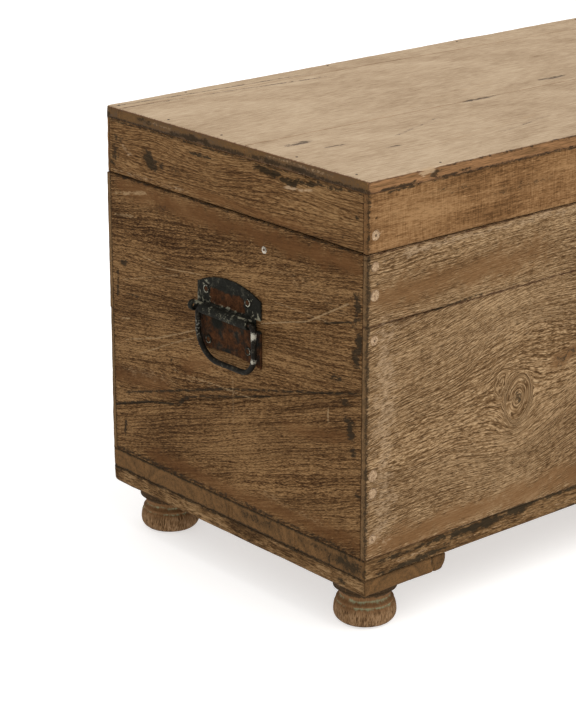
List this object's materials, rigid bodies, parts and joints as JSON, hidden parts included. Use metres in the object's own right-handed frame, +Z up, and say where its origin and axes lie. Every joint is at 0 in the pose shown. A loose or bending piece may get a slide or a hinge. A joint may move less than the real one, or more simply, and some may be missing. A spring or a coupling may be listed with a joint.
{
  "type": "wooden chest",
  "caption": "Old plank storage chest on turned bun feet, with a deep hinged lid, a slotted lid stay and an iron bail handle on each end.",
  "frame": {"origin": "on the ground, at the centre of the chest's outer box, hinge knuckles and handles included", "axes": "+Z up, +X along the chest's length to the right end, -Y towards the front"},
  "size_m": [1.087, 0.4414, 0.495],
  "materials": {
    "floor_wood": "dark aged wood, dry and worn",
    "foot_wood": "turned aged wood with traces of grey-green paint",
    "front_wood": "aged brown wood, rough grain",
    "end_wood": "darker aged wood, scratched",
    "rail_wood": "warm aged wood",
    "top_wood": "bleached tan wood, fine grain",
    "plug_wood": "pale filler",
    "nail_iron": "dark rusted iron",
    "rusty_iron": "rusted iron",
    "bail_iron": "worn black iron",
    "plate_iron": "worn black and rust-brown iron"
  },
  "bodies": {
    "chest": {"floor_board_1": "floor_wood", "floor_board_2": "floor_wood", "floor_board_3": "floor_wood", "floor_board_4": "floor_wood", "left_batten": "floor_wood", "right_batten": "floor_wood", "front_left_foot": "foot_wood", "front_right_foot": "foot_wood", "back_left_foot": "foot_wood", "back_right_foot": "foot_wood", "front_lower_board": "front_wood", "front_upper_board": "front_wood", "back_lower_board": "front_wood", "back_upper_board": "front_wood", "left_end_lower_board": "end_wood", "left_end_upper_board": "end_wood", "right_end_lower_board": "end_wood", "right_end_upper_board": "end_wood", "corner_nails": "nail_iron", "corner_nail_plugs": "plug_wood", "base_nails": "nail_iron", "left_handle_plate": "plate_iron", "left_handle_screws": "rusty_iron", "right_handle_plate": "plate_iron", "right_handle_screws": "rusty_iron", "left_hinge_box_leaf": "plate_iron", "right_hinge_box_leaf": "plate_iron", "left_hinge_pin": "rusty_iron", "right_hinge_pin": "rusty_iron", "hinge_box_screws": "rusty_iron", "stay_stud": "rusty_iron"},
    "lid": {"lid_front_rail": "rail_wood", "lid_back_rail": "rail_wood", "lid_left_rail": "end_wood", "lid_right_rail": "end_wood", "lid_top_front_board": "top_wood", "lid_top_middle_board": "top_wood", "lid_top_back_strip": "top_wood", "lid_cleat": "rail_wood", "lid_rail_nails": "nail_iron", "lid_rail_plugs": "plug_wood", "lid_top_nails": "nail_iron", "left_hinge_lid_leaf": "plate_iron", "right_hinge_lid_leaf": "plate_iron", "hinge_lid_screws": "rusty_iron", "stay_pivot_screw": "rusty_iron"},
    "left_bail": {"left_bail": "bail_iron"},
    "right_bail": {"right_bail": "bail_iron"},
    "stay_arm": {"stay_arm": "bail_iron"}
  },
  "joints": [
    {"name": "lid_hinge", "type": "hinge", "parent": "chest", "child": "lid", "pos_m": [0, 0.2152, 0.42025], "axis": [-1, 0, 0], "range_deg": [0, 100]},
    {"name": "left_bail_hinge", "type": "hinge", "parent": "chest", "child": "left_bail", "pos_m": [-0.5375, -0.0072, 0.306], "axis": [0, 1, 0], "range_deg": [0, 92]},
    {"name": "right_bail_hinge", "type": "hinge", "parent": "chest", "child": "right_bail", "pos_m": [0.5375, -0.0072, 0.306], "axis": [0, -1, 0], "range_deg": [0, 92]},
    {"name": "stay_pivot", "type": "hinge", "parent": "lid", "child": "stay_arm", "pos_m": [0.5055, 0.1702, 0.44025], "axis": [-1, 0, 0], "range_deg": [-100, 0]}
  ],
  "couplings": [
    {"joint": "stay_pivot", "follows": "lid_hinge", "ratio": -1}
  ]
}
